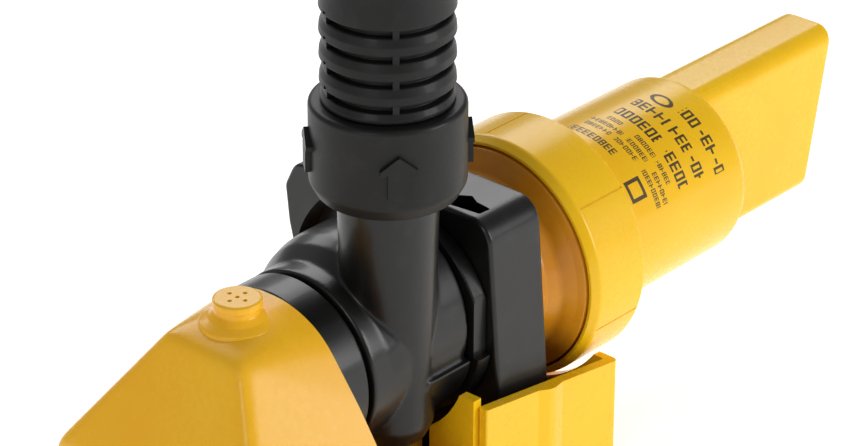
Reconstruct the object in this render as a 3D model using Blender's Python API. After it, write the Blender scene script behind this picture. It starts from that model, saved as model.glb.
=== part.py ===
"""Submersible bilge pump with a strainer, an outlet valve and a motor in a finned barrel."""

import math

import bmesh
import bpy
from mathutils import Matrix, Vector

MM = 0.001
ROUND = 40

AXIS_HEIGHT = 42.0
BASE_FRONT = -57.0
BASE_REAR = 62.0
BASE_HALF_WIDTH = 30.0
BASE_WALL = 2.4
BASE_FLOOR = 2.6

HOOD_REAR = -20.0
HOOD_WALL = 1.9
HOOD_SKIRT_TOP = 30.0
HOOD_MIDDLE = -2.7
VENT_X = -29.6
PIPE_RADIUS = 20.6
SPIRAL_OFFSET = (0.73, 3.07)
SPIRAL_RADIUS = 21.63
NECK_OF_CASING = 20.75

TUBE_X = 6.8
TUBE_Y = -11.2
TUBE_RADIUS = 10.3
TUBE_BORE = 8.0
COLLAR_BOTTOM = 81.0
COLLAR_TOP = 102.3
COLLAR_RADIUS = 16.7
HOSE_RADIUS = 14.2
HOSE_PITCH = 5.55
HOSE_RIBS = 6
HOSE_SMALL_RADIUS = 10.0
HOSE_TOP = 158.0

BLOCK_FRONT = 26.5
BLOCK_REAR = 42.5
BLOCK_HALF_WIDTH = 27.2
BLOCK_TOP = 69.0

NECK_RADIUS = 20.2
FLANGE_RADIUS = 26.3
RING_FRONT = 54.7
RING_REAR = 72.0
RING_RADIUS = 28.8
BARREL_RADIUS = 22.1
BARREL_END = 119.0
FIN_HALF_WIDTH = 8.0
FIN_END = 170.0

SHAFT_RADIUS = 2.0
MOTOR_FRONT = 46.0
MOTOR_REAR = 102.0
MOTOR_RADIUS = 17.9

YELLOW = (0.94, 0.58, 0.012, 1.0)
BLACK = (0.022, 0.022, 0.024, 1.0)
RUBBER = (0.012, 0.012, 0.013, 1.0)
STEEL = (0.60, 0.60, 0.61, 1.0)
MAGNET = (0.10, 0.10, 0.11, 1.0)
COPPER = (0.72, 0.33, 0.16, 1.0)
BRASS = (0.75, 0.58, 0.27, 1.0)
GREEN = (0.02, 0.20, 0.07, 1.0)
CERAMIC = (0.85, 0.84, 0.80, 1.0)


def clear_scene():
    for old in list(bpy.data.objects):
        bpy.data.objects.remove(old, do_unlink=True)


def paint(obj, colour, roughness=0.45, metallic=0.0):
    material = bpy.data.materials.new(obj.name + "_finish")
    material.use_nodes = True
    shader = material.node_tree.nodes["Principled BSDF"]
    shader.inputs["Base Color"].default_value = colour
    shader.inputs["Roughness"].default_value = roughness
    shader.inputs["Metallic"].default_value = metallic
    obj.data.materials.append(material)
    return obj


def finish_mesh(name, bm, origin=(0.0, 0.0, 0.0)):
    bmesh.ops.remove_doubles(bm, verts=bm.verts, dist=1e-7)
    bmesh.ops.recalc_face_normals(bm, faces=bm.faces)
    mesh = bpy.data.meshes.new(name)
    bm.to_mesh(mesh)
    bm.free()
    obj = bpy.data.objects.new(name, mesh)
    obj.location = Vector(origin) * MM
    bpy.context.scene.collection.objects.link(obj)
    return obj


def smooth(obj):
    for face in obj.data.polygons:
        face.use_smooth = True
    return obj


def turn_for(axis):
    if axis == "X":
        return Matrix(((0, 0, 1), (1, 0, 0), (0, 1, 0))).to_4x4()
    if axis == "Y":
        return Matrix(((0, 1, 0), (0, 0, 1), (1, 0, 0))).to_4x4()
    return Matrix.Identity(4)


def revolve(name, section, origin, axis="X", steps=ROUND):
    """A closed section of (along, radius) points, in mm, turned about an axis through origin."""
    bm = bmesh.new()
    rings = []
    for along, radius in section:
        if radius < 1e-6:
            rings.append([bm.verts.new((0.0, 0.0, along * MM))])
            continue
        ring = []
        for step in range(steps):
            angle = 2.0 * math.pi * step / steps
            x = radius * MM * math.cos(angle)
            y = radius * MM * math.sin(angle)
            ring.append(bm.verts.new((x, y, along * MM)))
        rings.append(ring)
    for index, ring in enumerate(rings):
        following = rings[(index + 1) % len(rings)]
        if len(ring) == 1 and len(following) == 1:
            continue
        for step in range(steps):
            after = (step + 1) % steps
            if len(ring) == 1:
                bm.faces.new((ring[0], following[after], following[step]))
            elif len(following) == 1:
                bm.faces.new((ring[step], ring[after], following[0]))
            else:
                bm.faces.new((ring[step], ring[after], following[after], following[step]))
    bmesh.ops.transform(bm, matrix=turn_for(axis), verts=bm.verts)
    return smooth(finish_mesh(name, bm, origin))


def rod(name, radius, low, high, origin=(0.0, 0.0, 0.0), axis="X", steps=24):
    section = [(low, 0.0), (low, radius), (high, radius), (high, 0.0)]
    return revolve(name, section, origin, axis, steps)


def sleeve(name, inner, outer, low, high, origin=(0.0, 0.0, 0.0), axis="X", steps=32):
    section = [(low, inner), (low, outer), (high, outer), (high, inner)]
    return revolve(name, section, origin, axis, steps)


def prism(name, outline, low, high, axis="X", origin=(0.0, 0.0, 0.0)):
    """An outline of points across the axis, in mm, drawn out from low to high along it."""
    bm = bmesh.new()
    bottom = [bm.verts.new((u * MM, v * MM, low * MM)) for u, v in outline]
    top = [bm.verts.new((u * MM, v * MM, high * MM)) for u, v in outline]
    bm.faces.new(bottom)
    bm.faces.new(top)
    for index in range(len(outline)):
        after = (index + 1) % len(outline)
        bm.faces.new((bottom[index], bottom[after], top[after], top[index]))
    bmesh.ops.transform(bm, matrix=turn_for(axis), verts=bm.verts)
    return finish_mesh(name, bm, origin)


def box(name, low, high):
    outline = [(low[0], low[1]), (high[0], low[1]), (high[0], high[1]), (low[0], high[1])]
    return prism(name, outline, low[2], high[2], "Z")


def loft(name, lower, upper, origin=(0.0, 0.0, 0.0)):
    """Two loops of the same number of (x, y, z) points, in mm, joined and capped."""
    bm = bmesh.new()
    first = [bm.verts.new(Vector(point) * MM) for point in lower]
    last = [bm.verts.new(Vector(point) * MM) for point in upper]
    bm.faces.new(first)
    bm.faces.new(last)
    for index in range(len(first)):
        after = (index + 1) % len(first)
        bm.faces.new((first[index], first[after], last[after], last[index]))
    return finish_mesh(name, bm, origin)


def hull(name, points):
    """The convex solid around a set of points, in mm."""
    bm = bmesh.new()
    for point in points:
        bm.verts.new(Vector(point) * MM)
    made = bmesh.ops.convex_hull(bm, input=bm.verts)
    spare = [item for item in made["geom_interior"] if isinstance(item, bmesh.types.BMVert)]
    bmesh.ops.delete(bm, geom=spare, context="VERTS")
    bmesh.ops.dissolve_limit(bm, angle_limit=0.001, verts=bm.verts, edges=bm.edges)
    return finish_mesh(name, bm)


def boolean(target, helper, operation):
    helper.hide_render = True
    helper.display_type = "WIRE"
    modifier = target.modifiers.new(helper.name, "BOOLEAN")
    modifier.operation = operation
    modifier.solver = "EXACT"
    modifier.object = helper
    return target


def cut(target, helper):
    return boolean(target, helper, "DIFFERENCE")


def join(target, helper):
    return boolean(target, helper, "UNION")


def bake(target):
    """Turns the live Booleans of an object into its mesh, and removes their helpers."""
    bpy.context.view_layer.update()
    graph = bpy.context.evaluated_depsgraph_get()
    mesh = bpy.data.meshes.new_from_object(target.evaluated_get(graph))
    helpers = [modifier.object for modifier in target.modifiers]
    target.modifiers.clear()
    target.data = mesh
    for helper in helpers:
        bpy.data.objects.remove(helper, do_unlink=True)
    return target


def base_rim(x):
    """Height of the near wall's rim: it falls gently towards the tail."""
    return 30.6 - 0.142 * (x - 17.3)


def build_base():
    wide = BASE_HALF_WIDTH
    foot = [(BASE_FRONT, -33.0), (HOOD_REAR, -40.5), (16.0, -wide), (BASE_REAR, -wide)]
    foot += [(BASE_REAR, wide), (16.0, wide), (HOOD_REAR, 40.5), (BASE_FRONT, 33.0)]
    base = prism("strainer_base", foot, 0.0, BASE_FLOOR, "Z")
    sides = []
    for side in (-1, 1):
        profile = [(17.2, 1.0), (BASE_REAR, 1.0), (BASE_REAR, base_rim(BASE_REAR))]
        profile.append((17.2, base_rim(17.2)))
        points = [(z, x) for x, z in profile]
        low = side * wide if side < 0 else wide - BASE_WALL
        wall = prism("wall_%d" % side, points, low, low + BASE_WALL, "Y")
        sides.append(wall)
    for wall in sides:
        join(base, wall)
    join(base, box("rear_wall", (59.6, -29.0, 1.0), (BASE_REAR, 29.0, 24.6)))
    join(base, box("comb_wall", (15.8, -27.4, 1.0), (18.2, 27.4, 32.4)))
    for side in (-1, 1):
        low = (-42.0, side * 27.0 - 1.2, 1.0)
        high = (12.0, side * 27.0 + 1.2, 17.0)
        join(base, box("front_wall_%d" % side, low, high))
    join(base, box("nose_wall", (-48.0, -25.4, 1.0), (-45.6, 25.4, 17.0)))
    join(base, box("saddle", (6.0, -20.0, 1.0), (9.0, 20.0, 20.0)))
    bake(base)
    arc = rod("ring_clearance", 30.2, 56.0, 66.0, (0.0, 0.0, AXIS_HEIGHT), steps=56)
    cut(base, arc)
    cut(base, rod("volute_clearance", 25.3, 3.0, 22.0, (0.0, 0.0, AXIS_HEIGHT), steps=56))
    for index, slot in enumerate(((-14.9, -10.6), (-1.6, 2.7), (11.0, 15.3), (23.0, 26.0))):
        low = (14.0, slot[0], 6.0)
        cut(base, box("comb_slot_%d" % index, low, (20.0, slot[1], 40.0)))
    for index in range(6):
        x = -38.0 + 8.0 * index
        cut(base, box("front_slot_%d" % index, (x, -31.0, 5.0), (x + 3.0, 31.0, 14.0)))
    for index in range(5):
        y = -21.5 + 10.0 * index
        cut(base, box("nose_slot_%d" % index, (-50.0, y, 5.0), (-43.0, y + 3.0, 14.0)))
    spots = ((-36.0, 0.0), (50.0, -20.0), (50.0, 20.0))
    for index, spot in enumerate(spots):
        hole = rod("screw_hole_%d" % index, 2.4, -2.0, 6.0, (spot[0], spot[1], 0.0), "Z", 20)
        cut(base, hole)
    return paint(bake(base), YELLOW, 0.35)


def hood_loops(inset):
    """Front and rear loops of the hood, each from one foot over the top to the other."""
    front = [(-56.5, -32.8, 2.9), (-54.0, -31.1, 31.0), (-42.2, -14.8, 58.0), (-41.1, -12.6, 60.0)]
    front += [(-41.1, 5.4, 60.0), (-42.2, 7.4, 58.0), (-54.0, 27.7, 31.9), (-56.5, 30.0, 2.9)]
    arch = [(-36.4, 2.9), (-34.8, HOOD_SKIRT_TOP), (-22.3, 47.9), (-18.2, 53.6), (-14.0, 58.1)]
    arch += [(-10.7, 60.4), (-7.3, 62.2), (-2.8, 63.3)]
    rear = [(HOOD_REAR, HOOD_MIDDLE + y, z) for y, z in arch]
    rear += [(HOOD_REAR, HOOD_MIDDLE - y, z) for y, z in reversed(arch)]
    if inset == 0.0:
        return front, rear
    inner_front = []
    for x, y, z in front:
        side = math.copysign(inset, y - HOOD_MIDDLE)
        drop = inset * 1.3 if z > HOOD_SKIRT_TOP + 4.0 else 0.0
        inner_front.append((x + inset, y - side, 1.0 if z < 3.0 else z - drop))
    inner_rear = []
    for x, y, z in rear:
        side = math.copysign(inset, y - HOOD_MIDDLE)
        drop = inset * 0.8 if z > HOOD_SKIRT_TOP + 1.0 else 0.0
        inner_rear.append((x + 1.0, y - side, 1.0 if z < 3.0 else z - drop))
    return inner_front, inner_rear


def build_hood():
    front, rear = hood_loops(0.0)
    hood = hull("strainer_hood", front + rear)
    inner_front, inner_rear = hood_loops(HOOD_WALL)
    cut(hood, hull("hood_hollow", inner_front + inner_rear))
    for index in range(4):
        x = -47.0 + 6.5 * index
        cut(hood, box("skirt_slot_%d" % index, (x, -50.0, 8.0), (x + 2.6, 50.0, 22.0)))
    for index in range(5):
        y = -22.3 + 10.4 * index
        cut(hood, box("face_slot_%d" % index, (-62.0, y, 8.0), (-50.0, y + 3.0, 22.0)))
    cut(hood, rod("button_hole", 4.95, 50.0, 70.0, (VENT_X, HOOD_MIDDLE, 0.0), "Z", 20))
    return paint(bake(hood), YELLOW, 0.35)


def build_button():
    section = [(57.0, 0.0), (57.0, 4.6), (65.4, 4.7), (65.7, 5.15), (67.1, 5.15), (67.4, 4.8)]
    section += [(67.4, 0.0)]
    button = revolve("vent_button", section, (VENT_X, HOOD_MIDDLE, 0.0), "Z", 24)
    places = ((0.0, 0.0), (2.25, 0.0), (-2.25, 0.0), (0.0, 2.25), (0.0, -2.25))
    for index, place in enumerate(places):
        centre = (VENT_X + place[0], HOOD_MIDDLE + place[1], 0.0)
        cut(button, rod("vent_hole_%d" % index, 0.45, 65.9, 69.0, centre, "Z", 8))
    return paint(bake(button), YELLOW, 0.4)


def build_inlet():
    centre = (0.0, 0.0, AXIS_HEIGHT)
    section = [(-19.6, 18.0), (-19.6, 19.3), (-18.1, 19.3), (-18.1, 20.2), (-17.4, PIPE_RADIUS)]
    section += [(-9.6, PIPE_RADIUS)]
    section += [(-9.6, 19.4), (-8.3, 19.4), (-8.3, 18.0)]
    pipe = revolve("inlet_pipe", section, centre, steps=40)
    paint(pipe, BLACK, 0.4)
    grille = sleeve("inlet_guard", 16.0, 17.7, -19.4, -18.0, centre, steps=40)
    for index, y in enumerate((-8.5, 0.0, 8.5)):
        reach = math.sqrt(16.9 ** 2 - y ** 2) - 0.3
        low = (-19.4, y - 1.0, AXIS_HEIGHT - reach)
        high = (-18.0, y + 1.0, AXIS_HEIGHT + reach)
        join(grille, box("guard_bar_%d" % index, low, high))
    paint(bake(grille), BLACK, 0.5)


def circle_section(centre_along, centre_radius, radius, steps=6):
    section = []
    for step in range(steps):
        angle = 2.0 * math.pi * step / steps
        along = centre_along + radius * math.cos(angle)
        section.append((along, centre_radius + radius * math.sin(angle)))
    return section


def ring_points(x, share, radius, steps=48):
    """Points of a circle across the axis, its centre moved by a share of the spiral's offset."""
    points = []
    for step in range(steps):
        angle = 2.0 * math.pi * step / steps
        y = SPIRAL_OFFSET[0] * share + radius * math.cos(angle)
        z = SPIRAL_OFFSET[1] * share + radius * math.sin(angle)
        points.append((x, y, AXIS_HEIGHT + z))
    return points


def spiral_reach(angle, share):
    """Distance from the pump axis to the casing wall, where the spiral has grown by a share."""
    across, up = (value * share for value in SPIRAL_OFFSET)
    radius = NECK_OF_CASING + (SPIRAL_RADIUS - NECK_OF_CASING) * share
    along = across * math.cos(angle) + up * math.sin(angle)
    reach = along + math.sqrt(radius ** 2 - across ** 2 - up ** 2 + along ** 2)
    return max(reach, NECK_OF_CASING)


def spiral_body(name, origin, steps=56):
    """The casing as rings about the axis: a round neck that grows into an off-centre body."""
    stations = [(-7.9, 0.0, -0.5), (-7.5, 0.0, 0.0), (-3.4, 0.0, 0.0), (0.0, 0.55, 0.0)]
    stations += [(4.0, 0.9, 0.0), (7.0, 1.0, 0.0), (12.6, 1.0, 0.0), (12.8, 1.0, 0.0)]
    stations += [(21.5, 1.0, 0.0), (21.9, 1.0, -0.4)]
    bm = bmesh.new()
    rings = []
    for x, share, extra in stations:
        ring = []
        for step in range(steps):
            angle = 2.0 * math.pi * step / steps
            reach = spiral_reach(angle, share) + extra
            if x > 12.7 and math.sin(angle) < -0.17:
                reach = max(reach, 22.3 + extra)
            y = reach * math.cos(angle)
            ring.append(bm.verts.new((x * MM, y * MM, reach * math.sin(angle) * MM)))
        rings.append(ring)
    bm.faces.new(rings[0])
    bm.faces.new(rings[-1])
    for ring, following in zip(rings, rings[1:]):
        for step in range(steps):
            after = (step + 1) % steps
            bm.faces.new((ring[step], ring[after], following[after], following[step]))
    return smooth(finish_mesh(name, bm, origin))


def build_volute():
    centre = (0.0, 0.0, AXIS_HEIGHT)
    volute = spiral_body("volute_casing", centre)
    heel = [(20.5, 0.0), (21.0, 4.0), (23.0, 7.6), (26.0, 9.6), (30.0, TUBE_RADIUS - 0.2)]
    heel += [(42.0, TUBE_RADIUS - 0.2), (76.4, TUBE_RADIUS + 0.3), (76.4, 10.5), (85.2, 10.5)]
    heel += [(85.2, 0.0)]
    tube = revolve("outlet_tube", heel, (TUBE_X, TUBE_Y, 0.0), "Z", 30)
    join(volute, tube)
    bake(volute)
    section = [(-9.0, 0.0), (-9.0, 17.6), (-2.0, 17.6), (-2.0, 11.0), (1.5, 11.0)]
    section += [(1.5, 18.3), (24.0, 18.3), (24.0, 0.0)]
    cut(volute, revolve("chamber", section, centre, steps=40))
    cut(volute, rod("tube_bore", TUBE_BORE, 50.0, 90.0, (TUBE_X, TUBE_Y, 0.0), "Z", 24))
    for index, spot in enumerate(screw_spots()):
        hole = rod("volute_hole_%d" % index, 1.0, 12.95, 24.0, spot, steps=12)
        cut(volute, hole)
    return paint(bake(volute), BLACK, 0.42)


def screw_spots():
    spots = []
    for degrees in (90.0, 210.0, 330.0):
        angle = math.radians(degrees)
        spots.append((0.0, 20.4 * math.cos(angle), AXIS_HEIGHT + 20.4 * math.sin(angle)))
    return spots


def build_impeller():
    centre = (0.0, 0.0, AXIS_HEIGHT)
    section = [(3.4, 0.0), (3.9, 2.2), (5.5, 3.8), (8.0, 4.6), (12.4, 4.8), (12.4, 16.6)]
    section += [(14.4, 16.6), (14.4, 0.0)]
    impeller = revolve("impeller", section, centre, steps=40)
    for index in range(6):
        points = []
        for step in range(5):
            angle = math.pi * index / 3.0 + 0.22 * step
            reach = 4.2 + 3.0 * step
            points.append((reach * math.cos(angle), reach * math.sin(angle)))
        outline = thick_line(points, 1.3)
        join(impeller, prism("vane_%d" % index, outline, 4.8, 12.8, "X", centre))
    bake(impeller)
    cut(impeller, rod("impeller_bore", SHAFT_RADIUS + 0.05, 4.6, 16.0, centre, steps=20))
    return paint(bake(impeller), BLACK, 0.5)


def thick_line(points, width):
    """Outline of a bent strip of constant width that follows the points."""
    left = []
    right = []
    for index, point in enumerate(points):
        before = points[max(index - 1, 0)]
        after = points[min(index + 1, len(points) - 1)]
        along = Vector((after[0] - before[0], after[1] - before[1])).normalized()
        across = Vector((-along.y, along.x)) * width * 0.5
        left.append((point[0] + across.x, point[1] + across.y))
        right.append((point[0] - across.x, point[1] - across.y))
    return left + right[::-1]


def build_back_plate():
    centre = (0.0, 0.0, AXIS_HEIGHT)
    points = ring_points(22.3, 0.3, 24.0) + ring_points(26.2, 0.3, 24.0)
    plate = hull("back_plate", points)
    join(plate, rod("spigot", 18.0, 16.2, 23.0, centre, steps=48))
    smooth(bake(plate))
    cut(plate, rod("plate_shaft_hole", 2.8, 14.0, 28.0, centre, steps=20))
    cut(plate, rod("seal_seat", 8.3, 19.0, 28.0, centre, steps=32))
    for index, spot in enumerate(screw_spots()):
        step = [(21.0, 0.0), (21.0, 1.0), (24.7, 1.0), (24.7, 1.9), (27.0, 1.9), (27.0, 0.0)]
        cut(plate, revolve("plate_hole_%d" % index, step, spot, steps=16))
    paint(bake(plate), BLACK, 0.45)
    seal = sleeve("shaft_seal", SHAFT_RADIUS + 0.06, 8.0, 19.3, 25.8, centre, steps=32)
    paint(seal, RUBBER, 0.7)
    for index, spot in enumerate(screw_spots()):
        section = [(13.0, 0.0), (13.0, 0.85), (24.9, 0.85), (24.9, 1.6), (26.0, 1.6)]
        section += [(26.0, 0.7), (25.3, 0.6), (25.3, 0.0)]
        screw = revolve("casing_screw_%d" % (index + 1), section, spot, steps=12)
        paint(screw, STEEL, 0.3, 1.0)


def block_outline(inset):
    """Section of the switch housing across the axis: drafted sides and rounded top corners."""
    low = BLOCK_HALF_WIDTH - inset
    high = BLOCK_HALF_WIDTH - 5.2 - inset
    bottom = 3.2 + inset
    top = BLOCK_TOP - inset
    radius = 6.0 - 0.5 * inset
    outline = [(-low, bottom), (low, bottom)]
    for side in (1, -1):
        for step in range(6):
            turn = step if side == 1 else 5 - step
            angle = 0.5 * math.pi * turn / 5
            y = side * (high - radius + radius * math.cos(angle))
            outline.append((y, top - radius + radius * math.sin(angle)))
    return outline


def build_block():
    centre = (0.0, 0.0, AXIS_HEIGHT)
    block = prism("switch_housing", block_outline(0.0), BLOCK_FRONT, BLOCK_REAR - 1.6)
    boss = [(12.0, 46.0), (28.8, 46.0), (30.8, 54.0), (31.6, 62.5), (30.4, 66.0), (28.4, 68.2)]
    boss += [(25.5, 69.4), (12.0, 69.4)]
    far_boss = prism("far_boss", boss, 20.0, 38.0)
    join(block, far_boss)
    bake(block)
    cut(block, rod("boss_clearance", 25.3, 5.0, 26.45, centre, steps=56))
    cut(block, rod("arm_clearance", 29.4, 10.0, 26.3, centre, steps=64))
    cut(block, prism("block_hollow", block_outline(2.2), 29.0, BLOCK_REAR))
    cut(block, rod("block_shaft_hole", 3.0, 20.0, 32.0, centre, steps=20))
    notch = [(27.7, -8.2), (32.0, -7.4), (34.2, -10.6), (32.7, -13.2), (32.2, -17.4), (29.2, -17.2)]
    cut(block, prism("top_notch", notch, 63.6, 72.0, "Z"))
    gland = (34.5, 0.0, 40.0)
    cut(block, rod("gland_hole", 3.3, 18.0, 30.0, gland, "Y", 20))
    paint(bake(block), BLACK, 0.45)
    cover = prism("switch_cover", block_outline(0.2), BLOCK_REAR - 1.4, BLOCK_REAR + 0.6)
    join(cover, box("cover_foot", (41.3, -27.0, 4.0), (45.9, -23.5, 24.6)))
    bake(cover)
    cut(cover, rod("cover_shaft_hole", 3.0, 30.0, 50.0, centre, steps=20))
    for index, spot in enumerate(cover_spots()):
        cut(cover, rod("cover_hole_%d" % index, 1.2, 36.0, 50.0, spot, steps=12))
    paint(bake(cover), BLACK, 0.45)
    for index, spot in enumerate(cover_spots()):
        section = [(35.0, 0.0), (35.0, 1.0), (43.3, 1.0), (43.3, 2.1), (44.6, 1.8)]
        section += [(44.6, 0.8), (43.9, 0.7), (43.9, 0.0)]
        screw = revolve("cover_screw_%d" % (index + 1), section, spot, steps=12)
        paint(screw, STEEL, 0.3, 1.0)


def cover_spots():
    return ((0.0, -21.0, 8.5), (0.0, 21.0, 8.5), (0.0, -16.5, 64.0), (0.0, 16.5, 64.0))


def build_electronics():
    board = box("circuit_board", (31.0, -17.5, 12.0), (32.6, 17.5, 60.0))
    centre = (0.0, 0.0, AXIS_HEIGHT)
    cut(board, rod("board_hole", 5.0, 29.0, 34.0, centre, steps=20))
    paint(bake(board), GREEN, 0.4)
    lower = box("sensor_plate_lower", (30.0, -21.6, 20.0), (40.0, -20.8, 30.0))
    paint(lower, COPPER, 0.35, 1.0)
    upper = box("sensor_plate_upper", (30.0, -19.6, 46.0), (40.0, -18.8, 56.0))
    paint(upper, COPPER, 0.35, 1.0)
    section = [(20.6, 1.8), (20.6, 3.1), (25.0, 3.1), (25.0, 5.2), (28.2, 5.2), (28.8, 4.5)]
    section += [(33.0, 3.4), (33.6, 2.8), (33.6, 1.8)]
    gland = revolve("cable_gland", section, (34.5, 0.0, 40.0), "Y", 24)
    paint(gland, RUBBER, 0.6)


def build_neck_and_ring():
    centre = (0.0, 0.0, AXIS_HEIGHT)
    section = [(43.4, 18.6), (43.4, NECK_RADIUS), (48.2, NECK_RADIUS), (50.2, 20.6)]
    section += [(52.0, 21.8), (53.3, 23.6), (54.0, 25.4), (54.4, FLANGE_RADIUS)]
    section += [(59.5, FLANGE_RADIUS), (59.5, 18.6)]
    neck = revolve("pump_head", section, centre, steps=40)
    paint(neck, YELLOW, 0.35)
    section = [(RING_FRONT, 26.9), (RING_FRONT, 27.4), (55.1, 28.1), (56.0, 28.6)]
    section += [(57.3, RING_RADIUS), (71.2, RING_RADIUS), (RING_REAR, 28.2)]
    section += [(RING_REAR, 22.5), (68.0, 22.5), (68.0, 26.9)]
    ring = revolve("locking_ring", section, centre, steps=44)
    for index in range(6):
        angle = math.radians(19.0 + 60.0 * index)
        y = 29.2 * math.cos(angle)
        z = AXIS_HEIGHT + 29.2 * math.sin(angle)
        cut(ring, rod("grip_%d" % index, 0.8, 50.0, 80.0, (0.0, y, z), steps=10))
    paint(bake(ring), YELLOW, 0.35)
    section = circle_section(60.45, 23.6, 0.65)
    paint(revolve("housing_o_ring", section, centre, steps=32), RUBBER, 0.7)


def fin_section(x, low, high):
    """One closed loop of the tail fin at a station along the axis, corners eased."""
    half = FIN_HALF_WIDTH
    ease = 2.4
    points = [(-half + ease, low), (half - ease, low), (half - 0.6, low + 0.7)]
    points += [(half, low + ease), (half, high - ease - 0.6), (half - 0.8, high - 1.0)]
    points += [(half - ease - 0.6, high), (-half + ease + 0.6, high), (-half + 0.8, high - 1.0)]
    points += [(-half, high - ease - 0.6), (-half, low + ease), (-half + 0.6, low + 0.7)]
    centre = AXIS_HEIGHT
    lean = 0.2
    return [(x + lean * (z - high), y, centre + z) for y, z in points]


def build_motor_housing():
    centre = (0.0, 0.0, AXIS_HEIGHT)
    section = [(60.0, 19.8), (60.0, 22.7), (61.3, 22.7), (61.3, 24.5), (60.0, 24.5)]
    section += [(60.0, FLANGE_RADIUS), (67.6, FLANGE_RADIUS), (67.6, BARREL_RADIUS)]
    section += [(BARREL_END - 2.2, 21.7), (BARREL_END - 0.8, 21.0), (BARREL_END, 19.2)]
    section += [(BARREL_END, 0.0), (116.6, 0.0), (116.6, 19.8)]
    housing = revolve("motor_housing", section, centre, steps=44)
    tip = fin_section(FIN_END, -19.8, 20.5)
    root = [(116.9, y, z) for x, y, z in tip]
    join(housing, loft("tail_fin", root, tip))
    bake(housing)
    cut(housing, box("fin_hollow", (112.0, -5.8, 25.2), (158.0, 5.8, 58.8)))
    return paint(bake(housing), YELLOW, 0.35)


def arc_segment(name, inner, outer, low, high, middle, spread, steps=12):
    outline = []
    for step in range(steps + 1):
        angle = math.radians(middle - spread + 2.0 * spread * step / steps)
        outline.append((outer * math.cos(angle), outer * math.sin(angle)))
    for step in range(steps, -1, -1):
        angle = math.radians(middle - spread + 2.0 * spread * step / steps)
        outline.append((inner * math.cos(angle), inner * math.sin(angle)))
    return prism(name, outline, low, high, "X", (0.0, 0.0, AXIS_HEIGHT))


def build_motor():
    centre = (0.0, 0.0, AXIS_HEIGHT)
    section = [(MOTOR_FRONT, 4.3), (MOTOR_FRONT, 17.3), (MOTOR_FRONT + 0.6, MOTOR_RADIUS)]
    section += [(98.0, MOTOR_RADIUS), (98.0, 16.8), (47.2, 16.8), (47.2, 4.3)]
    paint(revolve("motor_can", section, centre, steps=40), STEEL, 0.35, 1.0)
    upper = arc_segment("magnet_upper", 13.7, 16.6, 52.0, 86.0, 90.0, 68.0)
    paint(upper, MAGNET, 0.6)
    lower = arc_segment("magnet_lower", 13.7, 16.6, 52.0, 86.0, 270.0, 68.0)
    paint(lower, MAGNET, 0.6)
    outline = []
    for pole in range(5):
        for step, reach in ((-31, 5.6), (-25, 11.2), (-30, 11.4), (-29, 13.0), (-10, 13.0)):
            angle = math.radians(72.0 * pole + step)
            outline.append((reach * math.cos(angle), reach * math.sin(angle)))
        for step, reach in ((10, 13.0), (29, 13.0), (30, 11.4), (25, 11.2), (31, 5.6)):
            angle = math.radians(72.0 * pole + step)
            outline.append((reach * math.cos(angle), reach * math.sin(angle)))
    armature = prism("armature", outline, 54.0, 84.0, "X", centre)
    cut(armature, rod("armature_bore", SHAFT_RADIUS + 0.05, 50.0, 90.0, centre, steps=20))
    paint(bake(armature), STEEL, 0.5, 0.8)
    coil = [(49.2, 5.2), (49.2, 10.2), (50.2, 11.4), (53.8, 11.4), (53.8, 5.2)]
    paint(revolve("winding_front", coil, centre, steps=28), COPPER, 0.35, 1.0)
    coil = [(84.2, 5.2), (84.2, 11.4), (88.2, 11.4), (89.4, 10.2), (89.4, 5.2)]
    paint(revolve("winding_rear", coil, centre, steps=28), COPPER, 0.35, 1.0)
    bars = sleeve("commutator", SHAFT_RADIUS + 0.05, 5.0, 90.4, 96.4, centre, steps=24)
    paint(bars, COPPER, 0.3, 1.0)
    for name, side in (("brush_near", -1.0), ("brush_far", 1.0)):
        near = min(side * 5.15, side * 10.0)
        low = (91.4, near, AXIS_HEIGHT - 1.6)
        brush = box(name, low, (95.0, near + 4.85, AXIS_HEIGHT + 1.6))
        paint(brush, MAGNET, 0.7)
    section = [(98.2, 4.3), (97.0, 4.3), (97.0, 16.5), (98.2, 16.5), (98.2, 17.7)]
    section += [(100.0, 17.7), (100.0, 4.3)]
    paint(revolve("brush_plate", section, centre, steps=36), BLACK, 0.5)
    front = sleeve("front_bearing", SHAFT_RADIUS + 0.05, 4.2, 44.8, 48.6, centre, steps=24)
    paint(front, BRASS, 0.35, 1.0)
    rear = sleeve("rear_bearing", SHAFT_RADIUS + 0.05, 4.2, 97.0, 101.6, centre, steps=24)
    paint(rear, BRASS, 0.35, 1.0)
    section = [(4.9, 0.0), (4.9, SHAFT_RADIUS), (102.6, SHAFT_RADIUS), (103.2, 1.4)]
    section += [(103.2, 0.0)]
    paint(revolve("shaft", section, centre, steps=24), STEEL, 0.2, 1.0)


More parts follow.
